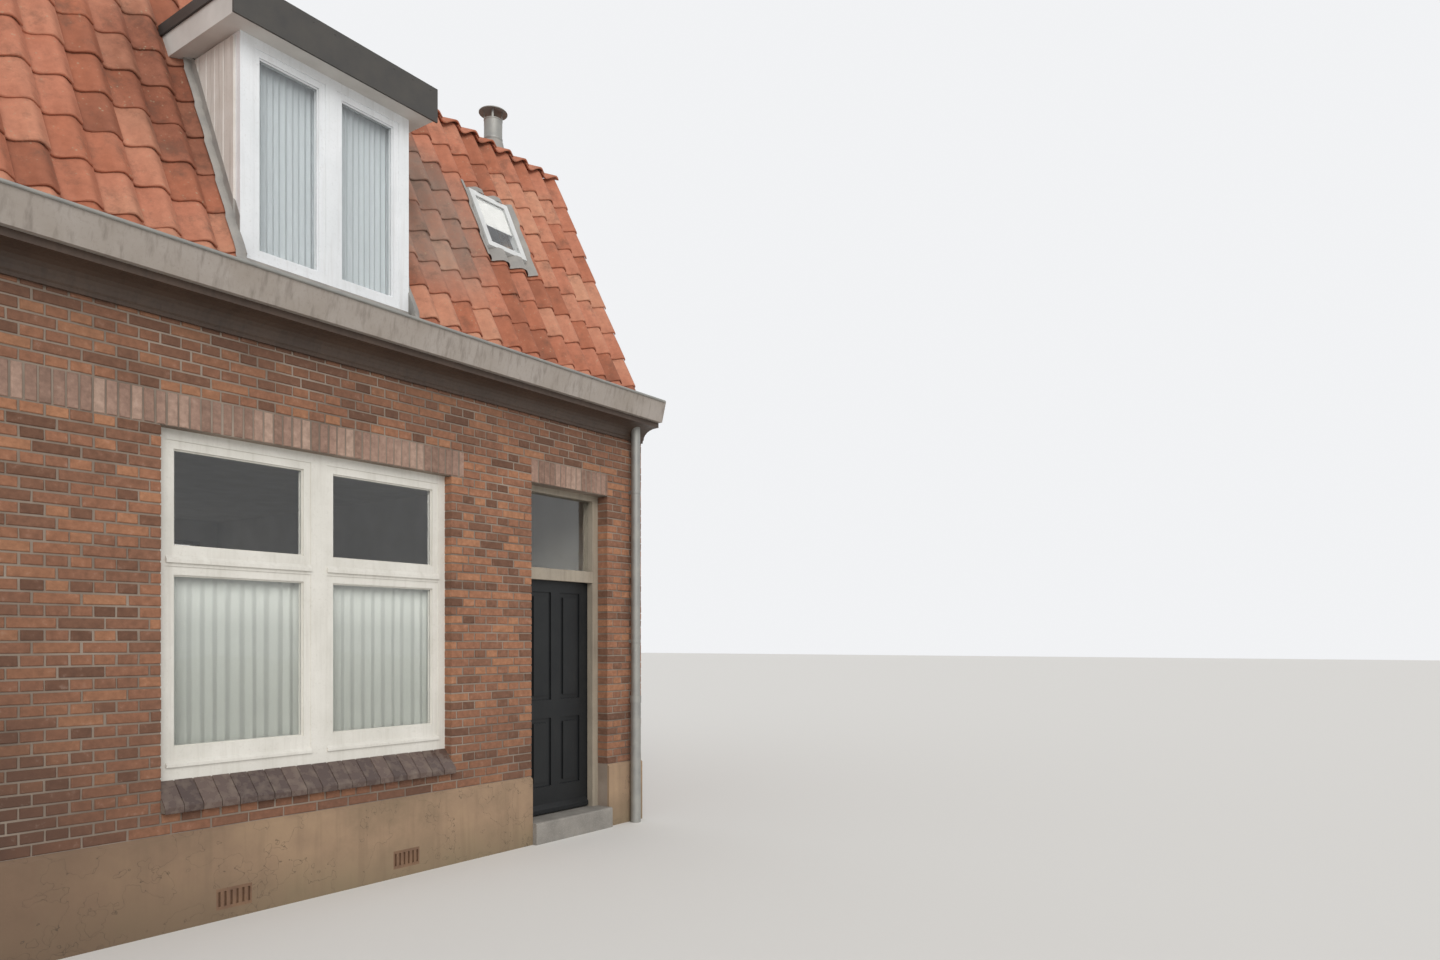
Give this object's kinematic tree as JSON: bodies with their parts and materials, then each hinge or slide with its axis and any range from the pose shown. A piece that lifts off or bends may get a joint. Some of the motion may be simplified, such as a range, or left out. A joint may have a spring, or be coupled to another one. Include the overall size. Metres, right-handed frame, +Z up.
{
  "type": "brick terraced cottage",
  "caption": "Single-storey brick terraced cottage with a steep tiled mansard roof, a flat-roofed dormer and a front door that opens.",
  "frame": {"origin": "centre of the footprint on the ground, under the ground floor", "axes": "+X to the right along the street front seen from the street, +Y from the street face to the back, +Z up"},
  "size_m": [5.6, 7.58, 7.364],
  "materials": {
    "brick": "rough red-brown brickwork",
    "soldier_brick": "upright brick course",
    "plinth_render": "yellow-brown rendered plinth",
    "cast_iron_brown": "painted red-brown",
    "sill_tile": "dark brown glazed sill tiles",
    "white_paint": "white gloss paint on wood",
    "door_frame_paint": "beige-brown paint on wood",
    "black_paint": "black gloss paint on wood",
    "window_glass": "clear glass",
    "door_metal": "dull brass",
    "hinge_steel": "zinc-plated steel",
    "step_stone": "worn hard stone",
    "floor_screed": "floated cement",
    "floor_boards": "pine boards",
    "roof_tile": "orange-red clay pantiles",
    "cornice_paint": "dark brown paint on wood",
    "gutter_paint": "grey-beige paint on wood",
    "zinc": "weathered zinc",
    "cheek_paint": "off-white paint on boards",
    "deck_paint": "white paint, bitumen on top",
    "edge_metal": "dark grey metal",
    "rim_metal": "light grey metal"
  },
  "bodies": {
    "house": {"ground_floor": "floor_screed", "front_wall": "brick", "front_wall_over_door": "brick", "front_wall_pier": "brick", "back_wall": "brick", "left_party_wall": "brick", "right_party_wall": "brick", "plinth": "plinth_render", "air_bricks": "cast_iron_brown", "soldier_courses": "soldier_brick", "window_sills": "sill_tile", "front_window_frame": "white_paint", "front_window_sashes": "white_paint", "front_window_glass": "window_glass", "front_door_frame": "door_frame_paint", "fanlights": "window_glass", "doorsteps": "step_stone", "front_hinge_pins": "hinge_steel", "back_window_frame": "white_paint", "back_window_sashes": "white_paint", "back_window_glass": "window_glass", "back_door_frame": "door_frame_paint", "back_door_leaf": "black_paint", "attic_floor": "floor_boards", "roof_front_lower": "roof_tile", "roof_front_upper": "roof_tile", "roof_back_lower": "roof_tile", "roof_back_upper": "roof_tile", "ridge_tiles": "roof_tile", "cornices": "cornice_paint", "front_gutter": "gutter_paint", "back_gutter": "gutter_paint", "downpipes": "zinc", "dormer_cheeks": "cheek_paint", "dormer_frame": "white_paint", "dormer_sashes": "white_paint", "dormer_glass": "window_glass", "dormer_roof": "deck_paint", "dormer_roof_edge": "edge_metal", "roof_window_rim": "rim_metal", "roof_window_glass": "window_glass", "flue_pipe": "zinc"},
    "front_door": {"front_door_leaf": "black_paint", "front_door_knobs": "door_metal", "front_door_hinges": "hinge_steel"}
  },
  "joints": [
    {"name": "front_door_hinge", "type": "hinge", "parent": "house", "child": "front_door", "pos_m": [2.295, -3.2695, 0.178], "axis": [0, 0, -1], "range_deg": [0, 90]}
  ]
}
